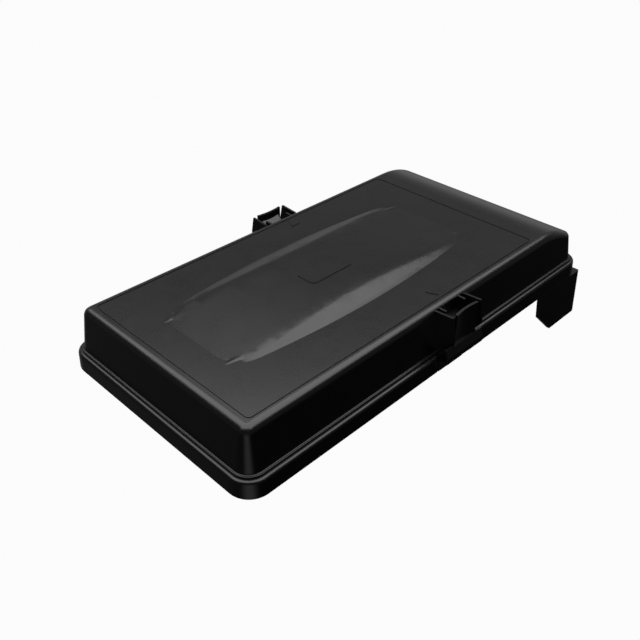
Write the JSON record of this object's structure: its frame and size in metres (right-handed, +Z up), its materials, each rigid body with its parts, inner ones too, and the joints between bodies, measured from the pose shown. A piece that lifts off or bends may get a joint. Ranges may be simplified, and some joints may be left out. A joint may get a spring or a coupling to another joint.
{
  "type": "bait station",
  "caption": "Low black rodent bait station with a hinged, clipped lid, a porch entered from below over a ledge's edge, and bait blocks on wire rods in a lift-out tray.",
  "frame": {"origin": "centre of the base's underside, the face that is screwed to a ledge", "axes": "+X towards the porch and the lid's hinge, +Y across to the left clip, +Z up"},
  "size_m": [0.3068, 0.1694, 0.074],
  "materials": {
    "moulded_black": "satin moulded polypropylene",
    "clip_black": "satin moulded polypropylene",
    "moulded_grey": "fine grained moulded plastic",
    "steel_wire": "bright drawn wire",
    "rubber": "matt rubber",
    "bait": "pressed waxy grain",
    "card": "uncoated card"
  },
  "bodies": {
    "station": {"bait_block_left_1": "bait", "bait_block_left_2": "bait", "bait_block_left_3": "bait", "bait_block_right_1": "bait", "bait_block_right_2": "bait", "bait_block_right_3": "bait", "bait_rod_left": "steel_wire", "bait_rod_right": "steel_wire", "bait_tray": "moulded_grey", "base": "moulded_black", "clip_pin_left": "steel_wire", "clip_pin_right": "steel_wire", "entry_baffle": "moulded_grey", "hinge_pin_left": "steel_wire", "hinge_pin_right": "steel_wire", "rod_stop_left": "rubber", "rod_stop_right": "rubber"},
    "lid": {"lid": "moulded_black", "service_card": "card"},
    "clip_left": {"clip_left": "clip_black"},
    "clip_right": {"clip_right": "clip_black"}
  },
  "joints": [
    {"name": "lid_hinge", "type": "hinge", "parent": "station", "child": "lid", "pos_m": [0.1536, 0, 0.0109], "axis": [0, 1, 0], "range_deg": [0, 100]},
    {"name": "clip_left_pivot", "type": "hinge", "parent": "station", "child": "clip_left", "pos_m": [0.0092, 0.0768, 0.0034], "axis": [-1, 0, 0], "range_deg": [0, 50]},
    {"name": "clip_right_pivot", "type": "hinge", "parent": "station", "child": "clip_right", "pos_m": [0.0092, -0.0768, 0.0034], "axis": [1, 0, 0], "range_deg": [0, 50]}
  ]
}
